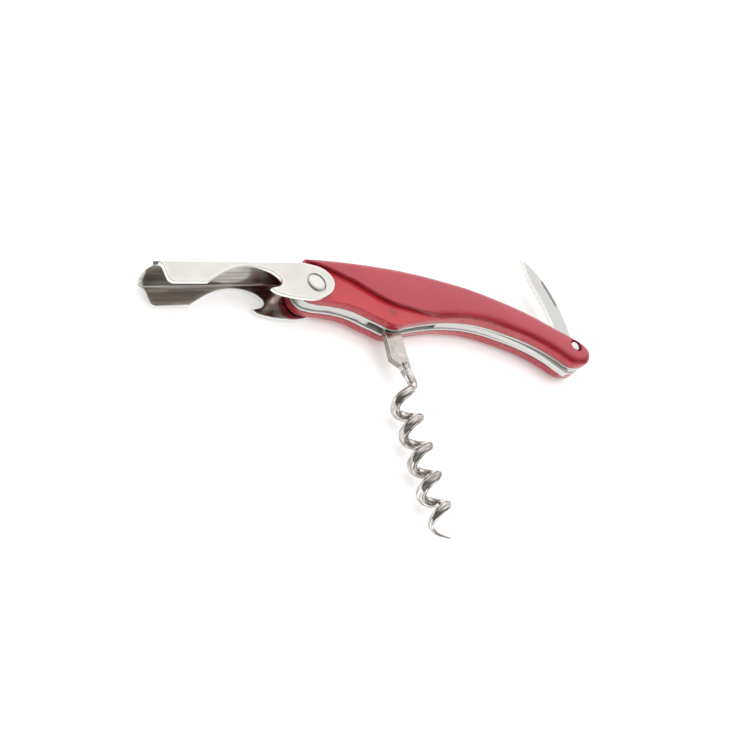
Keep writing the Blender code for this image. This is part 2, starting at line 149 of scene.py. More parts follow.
RIDGE = [
    (-1.7, 7.45, CORNER), (0.8, 7.1, SMOOTH), (4.5, 5.85, SMOOTH), (8.9, 3.7, SMOOTH),
    (14.3, 0.8, SMOOTH), (18.2, -1.9, SMOOTH), (22.2, -4.6, SMOOTH), (26.4, -6.8, SMOOTH),
    (31.0, -8.2, SMOOTH), (37.0, -9.8, SMOOTH), (44.6, -11.5, CORNER),
]
SPACER_OUTLINE = [
    (-1.3, 6.7, CORNER), (8.0, 6.9, SMOOTH), (18.0, 6.4, SMOOTH), (34.0, 4.1, SMOOTH),
    (50.0, 0.1, SMOOTH), (56.5, -1.9, SMOOTH), (57.6, -4.6, SMOOTH), (55.4, -6.4, SMOOTH),
    (46.0, -5.9, SMOOTH), (38.0, -4.9, SMOOTH), (31.0, -4.3, SMOOTH), (25.5, -4.3, SMOOTH),
    (21.6, -5.6, SMOOTH), (20.4, -8.0, SMOOTH), (19.0, -9.7, SMOOTH), (15.4, -8.1, SMOOTH),
    (7.6, -5.5, SMOOTH), (0.0, -4.45, SMOOTH), (-3.1, -3.2, SMOOTH), (-4.45, 0.0, SMOOTH),
    (-3.3, 3.0, SMOOTH), (-1.5, 4.4, CORNER),
]
SPRING_OUTLINE = [
    (44.3, -11.1, CORNER), (44.9, -8.4, SMOOTH), (49.0, -7.6, SMOOTH), (54.5, -7.9, SMOOTH),
    (58.5, -9.6, SMOOTH), (62.6, -11.2, SMOOTH), (70.2, -14.0, SMOOTH), (80.6, -19.3, SMOOTH),
    (86.1, -22.9, SMOOTH), (91.0, -26.9, SMOOTH), (93.0, -28.8, SMOOTH), (92.3, -29.9, SMOOTH),
    (89.8, -28.5, SMOOTH), (85.4, -24.6, SMOOTH), (80.6, -21.1, SMOOTH), (70.2, -15.9, SMOOTH),
    (60.0, -12.5, SMOOTH), (50.0, -11.2, SMOOTH),
]
# One wall of the lever, from the web's end between the ears round to the tip
WALL_OUTLINE = [
    (WEB_END, 6.9, CORNER), (0.6, 6.1, SMOOTH), (3.4, 5.2, SMOOTH), (5.6, 3.3, SMOOTH),
    (6.5, 0.8, SMOOTH), (5.7, -1.6, SMOOTH), (3.0, -4.0, SMOOTH), (-1.5, -5.45, SMOOTH),
    (-6.7, -5.2, SMOOTH), (-11.6, -4.4, SMOOTH), (-14.8, -3.3, SMOOTH), (-16.15, -2.1, CORNER),
    (-14.6, -1.75, SMOOTH), (-12.7, -1.2, SMOOTH), (-11.6, 0.2, SMOOTH), (-12.6, 2.2, SMOOTH),
    (-16.0, 4.2, SMOOTH), (-20.4, 4.9, SMOOTH), (-25.0, 4.4, SMOOTH), (-30.4, 2.4, SMOOTH),
    (-35.8, -0.55, CORNER), (-46.1, -0.8, CORNER), (-47.3, -0.1, SMOOTH), (-47.7, 1.4, SMOOTH),
    (-47.9, 3.1, SMOOTH), (-48.2, 4.5, SMOOTH), (-48.9, 5.5, SMOOTH), (LEVER_TIP, 6.05, CORNER),
]
SHANK_OUTLINE = [
    (25.5, -5.5, SMOOTH), (22.4, -6.8, SMOOTH), (21.9, -9.2, SMOOTH), (22.9, -11.6, SMOOTH),
    (22.8, -15.0, SMOOTH), (21.8, -22.6, CORNER), (24.7, -25.2, CORNER), (25.6, -28.6, SMOOTH),
    (26.9, -29.0, SMOOTH), (27.9, -26.4, SMOOTH), (28.5, -20.0, SMOOTH), (28.9, -14.0, SMOOTH),
    (29.0, -9.0, SMOOTH), (28.1, -6.6, SMOOTH),
]
WIRE_LEAD_IN = [
    (26.0, -24.0, 0.0), (26.5, -26.6, 0.0), (26.8, -28.8, 0.1), (26.7, -30.5, 0.3), (26.0, -31.9, 0.7),
]
BLADE_SPINE = [
    (93.3, 15.3, CORNER), (96.2, 11.8, SMOOTH), (99.2, 6.8, SMOOTH), (101.0, 1.2, SMOOTH),
    (101.7, -4.4, SMOOTH), (101.9, -9.5, SMOOTH), (101.5, -15.0, SMOOTH), (101.1, -21.0, SMOOTH),
    (99.6, -26.6, SMOOTH), (95.6, -28.6, SMOOTH), (91.4, -26.6, SMOOTH), (91.0, -20.8, SMOOTH),
]
BLADE_EDGE = [
    (93.2, -15.9, SMOOTH), (94.2, -11.0, SMOOTH), (94.1, -6.1, SMOOTH), (93.5, -0.5, SMOOTH),
    (92.8, 3.6, SMOOTH), (92.4, 8.0, SMOOTH), (92.55, 11.4, SMOOTH),
]


# ---------------------------------------------------------------- outlines


def handles(before, point, after, kind):
    """The two Bezier handles at a point of an outline."""
    to_left, to_right = point - before, after - point
    if kind == CORNER:
        return point - to_left / 3, point + to_right / 3
    left, right = np.linalg.norm(to_left), np.linalg.norm(to_right)
    along = to_left / left + to_right / right
    along = along / (np.linalg.norm(along) * AUTO_HANDLE)
    return point - along * left, point + along * right


def trace(points, step, closed=True):
    """Points about step apart along the smooth line through these points. Every given point stays."""
    places = np.array([point[:2] for point in points], float)
    count = len(points)
    sides = []
    for i, point in enumerate(points):
        before = places[i - 1] if closed or i else places[0] - (places[1] - places[0])
        after = places[(i + 1) % count] if closed or i + 1 < count else 2 * places[i] - places[i - 1]
        sides.append(handles(before, places[i], after, point[2]))
    made = []
    for i in range(count if closed else count - 1):
        j = (i + 1) % count
        a, b, c, d = places[i], sides[i][1], sides[j][0], places[j]
        parts = max(1, round(np.linalg.norm(d - a) / step))
        t = np.arange(parts)[:, None] / parts
        made.append((1 - t) ** 3 * a + 3 * (1 - t) ** 2 * t * b + 3 * (1 - t) * t**2 * c + t**3 * d)
    if not closed:
        made.append(places[-1:])
    return np.concatenate(made)


def circle(centre, radius, step=0.35):
    count = max(24, round(2 * math.pi * radius / step))
    angles = np.arange(count) * 2 * math.pi / count
    return np.stack([centre[0] + radius * np.cos(angles), centre[1] + radius * np.sin(angles)], 1)


def distance(points, line, closed=True):
    """Each point's distance to a line of points."""
    starts = line if closed else line[:-1]
    ends = np.roll(line, -1, 0) if closed else line[1:]
    along = ends - starts
    lengths = np.maximum((along**2).sum(1), 1e-12)
    best = np.full(len(points), np.inf)
    for start, direction, length in zip(starts, along, lengths):
        share = np.clip((points - start) @ direction / length, 0, 1)
        best = np.minimum(best, ((points - start - share[:, None] * direction) ** 2).sum(1))
    return np.sqrt(best)


def inside(points, loop):
    """Whether each point lies inside a closed line of points."""
    x, y = points[:, 0], points[:, 1]
    found = np.zeros(len(points), bool)
    for (x0, y0), (x1, y1) in zip(loop, np.roll(loop, -1, 0)):
        if y0 != y1:
            found ^= ((y0 > y) != (y1 > y)) & (x < (x1 - x0) * (y - y0) / (y1 - y0) + x0)
    return found


def offsets(line, amount):
    """The line moved sideways by this amount."""
    along = np.roll(line, -1, 0) - np.roll(line, 1, 0)
    along /= np.maximum(np.linalg.norm(along, axis=1), 1e-9)[:, None]
    return line + amount * np.stack([-along[:, 1], along[:, 0]], 1)


def rings(loop, depths):
    """Points inside a loop at these depths from it."""
    made = []
    for depth in depths:
        for amount in (-depth, depth):
            moved = offsets(loop, amount)
            kept = inside(moved, loop) & (distance(moved, loop) > 0.96 * depth)
            made.append(moved[kept])
    return np.concatenate(made)


def rows_along(line, amounts):
    """Points beside an open line, at these distances to its left."""
    padded = np.concatenate([2 * line[:1] - line[1:2], line, 2 * line[-1:] - line[-2:-1]])
    return np.concatenate([offsets(padded, amount)[1:-1] for amount in amounts])


def hexagons(loop, spacing):
    """Points spread evenly over a loop's box."""
    low, high = loop.min(0), loop.max(0)
    rise = spacing * math.sqrt(3) / 2
    made = []
    for row, y in enumerate(np.arange(low[1], high[1], rise)):
        x = np.arange(low[0] + (row % 2) * spacing / 2, high[0], spacing)
        made.append(np.stack([x, np.full(len(x), y)], 1))
    return np.concatenate(made)


def drop(depth, radius):
    """How far a rounded edge lies below its face, at this depth in from the rim."""
    short = radius - np.clip(depth, 0, radius)
    return radius - np.sqrt(np.maximum(radius**2 - short**2, 0))


def blend(x):
    x = np.clip(x, 0, 1)
    return x * x * (3 - 2 * x)


# ---------------------------------------------------------------- bodies


def spread(loop, holes, spacing, rim, lines):
    """Points over a pattern: its loops, rings that follow the rim, extra lines, and an even filling."""
    placed = [loop] + holes
    extra = [rings(loop, [share * rim for share in (0.08, 0.25, 0.5, 0.75, 1.0)])]
    for line in lines:
        kept = inside(line, loop) & (distance(line, loop) > 0.1 * spacing)
        extra.append(line[kept])
    fill = hexagons(loop, spacing)
    fill = fill[inside(fill, loop)]
    fill = fill[distance(fill, loop) > rim + 0.35 * spacing]
    crowded = np.concatenate(extra)
    near = np.zeros(len(fill), bool)
    for start in range(0, len(fill), 500):
        part = fill[start : start + 500]
        gaps = np.linalg.norm(part[:, None] - crowded[None], axis=2).min(1)
        near[start : start + 500] = gaps < 0.4 * spacing
    points = np.concatenate(extra + [fill[~near]])
    for hole in holes:
        points = points[~inside(points, hole)]
        points = points[distance(points, hole) > 0.05]
    return np.concatenate(placed + [points])


def triangles(loop, holes, points):
    """Triangles of a pattern, each turning left, after its holes are left out."""
    edges = []
    first = 0
    for line in [loop] + holes:
        count = len(line)
        edges += [(first + i, first + (i + 1) % count) for i in range(count)]
        first += count
    flat = [Vector(point) for point in points]
    places, _, faces, *_ = geometry.delaunay_2d_cdt(flat, edges, [], 4, 1e-5)
    places = np.array([tuple(place) for place in places])
    faces = [tuple(face) for face in faces if len(face) == 3]
    return places, faces


def give_points(mesh, name, values):
    """A named value at each point, for the materials to read."""
    attribute = mesh.attributes.new(name, "FLOAT", "POINT")
    attribute.data.foreach_set("value", values.astype(np.float32))


def slab(name, loop, holes, surfaces, spacing=0.8, rim=0.2, lines=()):
    """A closed body over a flat pattern. surfaces(points, depth) gives its upper and lower points.

    Its points know how near the rim they are (an edge-zone value that the materials paint brighter or paler)
    and which face they are on ("inside", 1 on the lower).
    """
    points = spread(loop, holes, spacing, rim, lines)
    places, faces = triangles(loop, holes, points)
    depth = distance(places, loop)
    upper, lower = surfaces(places, depth)
    count = len(places)
    sides = {}
    for a, b, c in faces:
        for start, end in ((a, b), (b, c), (c, a)):
            sides[start, end] = sides.get((start, end), 0) + 1
    walls = [(start, end) for start, end in sides if (end, start) not in sides]
    mesh = bpy.data.meshes.new(name)
    quads = [(end, start, start + count, end + count) for start, end in walls]
    bottoms = [(c + count, b + count, a + count) for a, b, c in faces]
    mesh.from_pydata([tuple(p) for p in np.concatenate([upper, lower]) * MM], [], faces + bottoms + quads)
    give_points(mesh, "edge_zone", np.tile(np.exp(-depth / EDGE_ZONE_REACH), 2))
    give_points(mesh, "inside", np.repeat([0.0, 1.0], count))
    mesh.update()
    obj = bpy.data.objects.new(name, mesh)
    bpy.context.scene.collection.objects.link(obj)
    obj.location = PIVOT
    bm = bmesh.new()
    bm.from_mesh(mesh)
    bmesh.ops.recalc_face_normals(bm, faces=bm.faces)
    bm.to_mesh(mesh)
    bm.free()
    mesh.shade_smooth()
    mesh.set_sharp_from_angle(angle=PLATE_CREASE)
    return obj


def plate_surfaces(low, high, rim):
    """Upper and lower face of an even plate with rounded edges."""

    def surfaces(points, depth):
        fall = drop(depth, rim)
        return np.column_stack([points, high - fall]), np.column_stack([points, low + fall])

    return surfaces


def plate(name, outline, low, high, rim, holes=(), spacing=1.2, step=0.5):
    loop = trace(outline, step)
    return slab(name, loop, [circle(*hole) for hole in holes], plate_surfaces(low, high, rim), spacing, rim)


# ---------------------------------------------------------------- pieces


def above_ridge(points, ridge):
    """How far each point is on the raised side of the ridge, negative in the recess."""
    gap = distance(points, ridge, closed=False)
    above = points[:, 1] > np.interp(points[:, 0], ridge[:, 0], ridge[:, 1])
    above |= points[:, 0] > ridge[-1, 0]
    above &= points[:, 0] > ridge[0, 0]
    return np.where(above, gap, -gap)


def scale_surfaces(side, ridge):
    def surfaces(points, depth):
        crown = CROWN * (1 - np.clip(depth / CROWN_REACH, 0, 1)) ** 2
        raised = SCALE_FACE - crown - (EDGE_ROUNDING - CROWN) / EDGE_ROUNDING * drop(depth, EDGE_ROUNDING)
        recess = RECESS_FACE - drop(depth, 0.3)
        climb = above_ridge(points, ridge)
        raised -= TAIL_THINNING * blend((points[:, 0] - TAIL_START) / (TAIL_END - TAIL_START))
        raised -= RIDGE_DIP * (1 - np.clip(climb / RIDGE_REACH, 0, 1)) ** 2
        share = np.sin(np.clip(climb / RIDGE_WIDTH, 0, 1) * math.pi / 2) ** 1.2
        height = recess + (np.maximum(raised, recess) - recess) * share
        from_rivet = np.hypot(points[:, 0] - BLADE_PIVOT[0], points[:, 1] - BLADE_PIVOT[1])
        bored = blend((COUNTERBORE + COUNTERBORE_WALL - from_rivet) / COUNTERBORE_WALL)
        height += (COUNTERBORE_FLOOR - height) * np.where(from_rivet < COUNTERBORE + 0.3, bored, 0)
        inner = np.full(len(points), SCALE_INNER)
        return np.column_stack([points, side * height]), np.column_stack([points, side * inner])

    return surfaces


def make_scale(name, side, node):
    """A handle scale: crowned and raised above the ridge, lower where the lever's wall folds away."""
    ridge = trace(RIDGE, 0.5, closed=False)
    shares = (-0.45, -0.15, 0, 0.2, 0.45, 0.7, 1.0, 1.4)
    lines = [rows_along(ridge, [RIDGE_WIDTH * share for share in shares])]
    extras = (-0.2, 0.0, 0.08, 0.17, 0.25, 0.5)
    lines += [circle(BLADE_PIVOT, COUNTERBORE + extra, 0.25) for extra in extras]
    holes = [circle((0.0, 0.0), RIVET_HOLE), circle(BLADE_PIVOT, BLADE_HOLE, 0.25)]
    loop = trace(HANDLE_OUTLINE, 0.5)
    scale = slab(name, loop, holes, scale_surfaces(side, ridge), 0.8, EDGE_ROUNDING, lines)
    finish(scale, "handle", ACRYLIC, "red_acrylic", node)


def make_liner(name, low, high, node):
    holes = [((0.0, 0.0), RIVET_HOLE), (WORM_PIVOT, PIN_HOLE), (BLADE_PIVOT, BLADE_HOLE)]
    liner = plate(name, HANDLE_OUTLINE, low, high, LINER_RIM, holes)
    finish(liner, "handle", SATIN_STEEL, "satin_steel", node)


def make_core():
    holes = [((0.0, 0.0), RIVET_HOLE)]
    spacer = plate("spacer_plate", SPACER_OUTLINE, -CORE_HALF, CORE_HALF, CORE_RIM, holes)
    finish(spacer, "handle", SATIN_STEEL, "satin_steel", "front_spacer")
    spring = plate("back_spring_strip", SPRING_OUTLINE, -CORE_HALF, CORE_HALF, CORE_RIM)
    finish(spring, "handle", SPRING_STEEL, "spring_steel", "back_spring")


def web_height(x):
    """Height of the web's outer face above the rivet."""
    return WEB_HEIGHT + WEB_SLOPE * (x - LEVER_TIP / 2)


def unrolled(points):
    """A wall's side view laid flat: how far each point is from the web's middle along the sheet."""
    x, y = points[:, 0], points[:, 1]
    below = web_height(x) - BEND_RADIUS - y
    rise = np.arcsin(np.clip(-below / BEND_RADIUS, 0, 1))
    on_bend = WEB_FLAT + BEND_RADIUS * (math.pi / 2 - rise)
    across = np.where(below < 0, on_bend, WEB_FLAT + BEND_LENGTH + below)
    return np.column_stack([x, across])


def bent(points, sheet_depth):
    """Folds the flat pattern into the channel. sheet_depth is how far under the outer face a point is."""
    x, across = points[:, 0], points[:, 1]
    side = np.sign(across)
    along = np.abs(across)
    turn = np.clip((along - WEB_FLAT) / BEND_RADIUS, 0, math.pi / 2)
    wall = np.maximum(along - WEB_FLAT - BEND_LENGTH, 0)
    radius = BEND_RADIUS - sheet_depth
    z = side * (np.minimum(along, WEB_FLAT) + radius * np.sin(turn))
    z = z * (1 + FLARE * np.clip((FLARE_START - x) / (FLARE_START - LEVER_TIP), 0, 1))
    y = web_height(x) - BEND_RADIUS + radius * np.cos(turn) - wall
    scoop = np.clip((SCOOP_START - x) / (SCOOP_START - LEVER_TIP), 0, 1.2) ** 2
    y = y + SCOOP_RISE * scoop * np.clip(1 - (z / WEB_FLAT) ** 2, 0, 1)
    return np.column_stack([x, y, z])


def make_lever():
    """The sheet-steel channel, cut as a flat pattern and folded, with softened cut edges."""
    wall = unrolled(trace(WALL_OUTLINE, 0.5, closed=False))
    corner = wall[-1, 1]
    tip = np.linspace(corner, -corner, 48)[1:-1]
    bulge = TIP_BULGE * (1 - np.abs(tip / corner) ** 2.2)
    tip = np.column_stack([LEVER_TIP - bulge, tip])
    mirrored = wall[::-1] * (1, -1)
    web_end = np.linspace(-wall[0, 1], wall[0, 1], 24)[1:-1]
    web_end = np.column_stack([np.full(len(web_end), WEB_END), web_end])
    loop = np.concatenate([wall, tip, mirrored, web_end])
    rivet = WEB_FLAT + BEND_LENGTH + web_height(0.0) - BEND_RADIUS
    holes = [circle((0.0, rivet), RIVET_HOLE), circle((0.0, -rivet), RIVET_HOLE)]
    bends = []
    for share in (0.0, 0.17, 0.33, 0.5, 0.67, 0.83, 1.0):
        for side in (-1, 1):
            x = np.arange(LEVER_TIP - 1, 2.0, 0.7)
            bends.append(np.column_stack([x, np.full(len(x), side * (WEB_FLAT + share * BEND_LENGTH))]))

    spotface = [
        circle((0.0, side * rivet), SPOTFACE + extra) for side in (-1, 1) for extra in (-0.1, 0, 0.08, 0.2)
    ]

    def surfaces(points, depth):
        fall = drop(depth, LEVER_RIM)
        from_rivet = np.hypot(points[:, 0], np.abs(points[:, 1]) - rivet)
        sunk = RIVET_SINK * blend((SPOTFACE + 0.08 - from_rivet) / 0.1)
        return bent(points, np.maximum(fall, sunk)), bent(points, SHEET - fall)

    lever = slab("lever_channel", loop, holes, surfaces, 0.9, LEVER_RIM, bends + spotface)
    finish(lever, "lever", LEVER_STEEL, "polished_steel", "lever")


def helix_points():
    """Centre line and thickness of the worm's wire: its lead-in, then a right-handed helix that tapers."""
    along = Vector((math.sin(HELIX_LEAN), -math.cos(HELIX_LEAN), 0.0))
    across = Vector((math.cos(HELIX_LEAN), math.sin(HELIX_LEAN), 0.0))
    turns = HELIX_LAST_TURN - HELIX_FIRST_TURN
    steps = round(turns * STEPS_PER_TURN)
    helix = []
    for step in range(steps + 1):
        turn = HELIX_FIRST_TURN + turns * step / steps
        taper = max(0.0, 1.0 - (HELIX_LAST_TURN - turn) / TIP_TURNS)
        thickness = 1.0 - (1.0 - TIP_RADIUS) * taper**1.5
        radius = HELIX_RADIUS * (1.0 - TIP_DRAW_IN * taper**2)
        angle = 2 * math.pi * turn
        centre = Vector((*HELIX_START, 0.0)) + along * (turn * HELIX_PITCH + TIP_REACH * taper**2)
        offset = across * (radius * math.cos(angle)) + Vector((0.0, 0.0, radius * math.sin(angle)))
        helix.append((centre + offset, thickness))
    return [(point, 1.0) for point in lead_in(helix[0][0], helix[6][0])] + helix


def lead_in(first, second):
    """The wire from the shank's end to the helix, as a smooth line."""
    knots = [Vector(point) for point in WIRE_LEAD_IN] + [first, second]
    made = []
    for i in range(len(knots) - 2):
        before = knots[max(i - 1, 0)]
        start, end, after = knots[i], knots[i + 1], knots[i + 2]
        pull = (end - start).length / 3
        leaving = start + (end - before).normalized() * pull
        arriving = end - (after - start).normalized() * pull
        made += geometry.interpolate_bezier(start, leaving, arriving, end, 9)[:-1]
    return made


def evaluated_mesh(obj):
    bpy.context.view_layer.update()
    graph = bpy.context.evaluated_depsgraph_get()
    mesh = bpy.data.meshes.new_from_object(obj.evaluated_get(graph))
    mesh.transform(obj.matrix_world)
    return mesh


def make_wire(points):
    """A round wire along these points, with coordinates that run the way it was drawn, for its flats and its
    painted reflection streaks.
    """
    places = [place for place, _ in points]
    vertices, streaks, faces = [], [], []
    across = Vector((0.0, 0.0, 1.0))
    length = 0.0
    for i, (place, thickness) in enumerate(points):
        ahead = (places[min(i + 1, len(places) - 1)] - places[max(i - 1, 0)]).normalized()
        across = (across - ahead * across.dot(ahead)).normalized()
        upward = ahead.cross(across)
        length += (place - places[max(i - 1, 0)]).length
        for side in range(WIRE_SIDES):
            angle = 2 * math.pi * side / WIRE_SIDES
            turned_to = across * math.cos(angle) + upward * math.sin(angle)
            vertices.append((place + turned_to * (WIRE_RADIUS * thickness)) * MM)
            streaks.append((math.cos(angle), math.sin(angle), length * STREAK_SLOWNESS))
    for ring in range(len(points) - 1):
        for side in range(WIRE_SIDES):
            a, b = ring * WIRE_SIDES + side, ring * WIRE_SIDES + (side + 1) % WIRE_SIDES
            faces.append((a, b, b + WIRE_SIDES, a + WIRE_SIDES))
    last = (len(points) - 1) * WIRE_SIDES
    faces.append(tuple(reversed(range(WIRE_SIDES))))
    faces.append(tuple(range(last, last + WIRE_SIDES)))
    mesh = bpy.data.meshes.new("wire")
    mesh.from_pydata(vertices, [], faces)
    wire = bpy.data.objects.new("wire", mesh)
    wire.location = PIVOT
    bpy.context.scene.collection.objects.link(wire)
    tree = KDTree(len(vertices))
    for i, vertex in enumerate(vertices):
        tree.insert(vertex + PIVOT, i)
    tree.balance()
    return wire, tree, streaks


def set_streaks(mesh, tree, streaks):
    """Where each point lies round and along the wire, or on the flat shank."""
    values = []
    for vertex in mesh.vertices:
        _, nearest, gap = tree.find(vertex.co)
        x, y, z = (vertex.co - PIVOT) / MM
        on_shank = (0.02 * x, 0.02 * y, 0.02 * z)
        on_wire = gap < WIRE_GAP and y < STREAKS_START
        values.append(streaks[nearest] if on_wire else on_shank)
    mesh.attributes.new("streaks", "FLOAT_VECTOR", "POINT").data.foreach_set("vector", np.ravel(values))


def make_worm():
    """Flat shank that runs into the round, pointed wire of the helix."""
    wire, tree, streaks = make_wire(helix_points())
    holes = [(WORM_PIVOT, PIN_HOLE)]
    shank = plate("worm_forged", SHANK_OUTLINE, -SHANK_HALF, SHANK_HALF, SHANK_RIM, holes, 0.9)
    union = shank.modifiers.new("union", "BOOLEAN")
    union.operation = "UNION"
    union.object = wire
    joined = evaluated_mesh(shank)
    bpy.data.objects.remove(shank)
    bpy.data.objects.remove(wire)
    set_streaks(joined, tree, streaks)
    worm = bpy.data.objects.new("worm_forged", joined)
    bpy.context.scene.collection.objects.link(worm)
    joined.shade_smooth()
    joined.set_sharp_from_angle(angle=WORM_CREASE)
    finish(worm, "worm", WORM_STEEL, "polished_steel", "worm")


def ground(points):
    """1 on the blade's full thickness, falling to 0 at its cutting edge."""
    edge = trace(BLADE_EDGE + [BLADE_SPINE[0]], 0.4, closed=False)
    share = np.clip(distance(points, edge, closed=False) / GRIND_WIDTH, 0, 1)
    return np.where(points[:, 1] > GRIND_END, share, 1.0)


def blade_surfaces(points, depth):
    """Ground from the full thickness down to the edge, with a nail nick beside the spine."""
    half = EDGE_HALF + (BLADE_HALF - EDGE_HALF) * ground(points)
    half = np.minimum(half, np.maximum(half - drop(depth, BLADE_RIM), EDGE_HALF))
    nick = distance(points, np.array(NAIL_NICK), closed=False)
    cut = NICK_DEPTH * blend((NICK_HALF_WIDTH - nick) / (0.8 * NICK_HALF_WIDTH))
    return np.column_stack([points, half - cut]), np.column_stack([points, -half])


def make_blade():
    loop = trace(BLADE_SPINE + BLADE_EDGE, 0.4)
    nick = np.linspace(*np.array(NAIL_NICK), 30)
    steps = [NICK_HALF_WIDTH * share for share in (-1.1, -0.8, -0.5, 0.0, 0.5, 0.8, 1.1)]
    edge = trace(BLADE_EDGE + [BLADE_SPINE[0]], 0.4, closed=False)
    shares = (0.4, 0.7, 0.98, 1.02)
    bevel = rows_along(edge, [side * GRIND_WIDTH * share for side in (-1, 1) for share in shares])
    holes = [circle(BLADE_PIVOT, BLADE_HOLE, 0.3)]
    lines = [rows_along(nick, steps), bevel]
    blade = slab("blade_ground", loop, holes, blade_surfaces, 0.5, BLADE_RIM, lines)
    places = np.empty(3 * len(blade.data.vertices))
    blade.data.vertices.foreach_get("co", places)
    # The ground bevel gets the brighter edge colour: partly its ground polish, partly a painted reflection of
    # the white studio.
    bevel_polish_and_sheen = (ground(places.reshape(-1, 3)[:, :2] / MM) < 0.995).astype(np.float32)
    blade.data.attributes["edge_zone"].data.foreach_set("value", bevel_polish_and_sheen)
    finish(blade, "blade", BLADE_STEEL, "satin_steel", "knife_blade")


def turned(name, centre, profile, steps=72):
    """A piece turned about a vertical axis, from a profile of radius and height down its outside."""
    mesh = bpy.data.meshes.new(name)
    edges = [(i, i + 1) for i in range(len(profile) - 1)]
    mesh.from_pydata([(r * MM, 0.0, z * MM) for r, z in profile], edges, [])
    obj = bpy.data.objects.new(name, mesh)
    bpy.context.scene.collection.objects.link(obj)
    obj.location = PIVOT + Vector((centre[0] * MM, centre[1] * MM, 0.0))
    screw = obj.modifiers.new("turn", "SCREW")
    screw.steps = screw.render_steps = steps
    screw.use_merge_vertices = True
    screw.merge_threshold = 0.000005
    made = evaluated_mesh(obj)
    bpy.data.objects.remove(obj)
    made.shade_smooth()
    made.set_sharp_from_angle(angle=RIVET_CREASE)
    obj = bpy.data.objects.new(name, made)
    bpy.context.scene.collection.objects.link(obj)
    return obj


def rivet_profile(shaft, head, seat, top, lip):
    """Half profile of a peened head, with a small flat lip under its dome."""
    rise = top - seat - lip
    angles = [math.pi / 2 * i / 14 for i in range(15)]
    dome = [(head * math.sin(a), seat + lip + rise * math.cos(a)) for a in angles]
    upper = dome + [(head, seat), (shaft, seat)]
    return upper + [(r, -z) for r, z in reversed(upper)]


def make_rivets():
    lever_profile = rivet_profile(shaft=1.9, head=RIVET_HEAD, seat=6.05, top=6.98, lip=0.1)
    lever_rivet = turned("lever_rivet_domed", (0.0, 0.0), lever_profile)
    finish(lever_rivet, "handle", RIVET_STEEL, "polished_steel", "lever_rivet")
    blade_profile = rivet_profile(shaft=1.2, head=1.75, seat=5.3, top=6.2, lip=0.3)
    blade_rivet = turned("blade_rivet_domed", BLADE_PIVOT, blade_profile)
    finish(blade_rivet, "handle", RIVET_STEEL, "polished_steel", "blade_rivet")


def finish(obj, body, material, slot, *nodes):
    """Gives a piece its material and its body, and hides the CAD nodes that it stands for."""
    obj.data.materials.clear()
    obj.data.materials.append(material)
    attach(obj, body)
    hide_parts(*nodes)


# ---------------------------------------------------------------- materials


# Brighter steel rims: partly rubbed polish, partly a painted highlight where an edge catches the light.
EDGE_POLISH_AND_SHEEN = (0.9, 0.9, 0.88)
CUT_EDGE = (0.68, 0.69, 0.67)
# Darker streaks painted on the lever channel's inner face: painted shade and painted reflection bands inside
# the channel.
INSIDE_SHADE_STREAK = (0.40, 0.36, 0.33)
# Painted reflection streaks and painted glints along the worm's wire.
WIRE_DARK_REFLECTION = (0.22, 0.195, 0.18)
WIRE_GLINT = (0.92, 0.91, 0.89)
# Dark grey on the shank's cut sides: partly rough-sheared steel, partly a painted reflection of the shade
# under the handle.
SIDE_SHEAR_AND_SHADE = (0.26, 0.235, 0.215)
# Painted shade: darker red on the ridge's wall, where it faces the dim side.
RIDGE_WALL_SHADE_RED = (0.34, 0.007, 0.018)
PIN_TINT = (0.30, 0.03, 0.045)
# Paler red that the acrylic is painted towards its rims.
RIM_PALE_RED = (0.8, 0.18, 0.2)
BRUSHED = (0.05, 1.0, 1.0)  # grain drawn out along X
BRUSHED_ACROSS = (1.0, 0.04, 1.0)


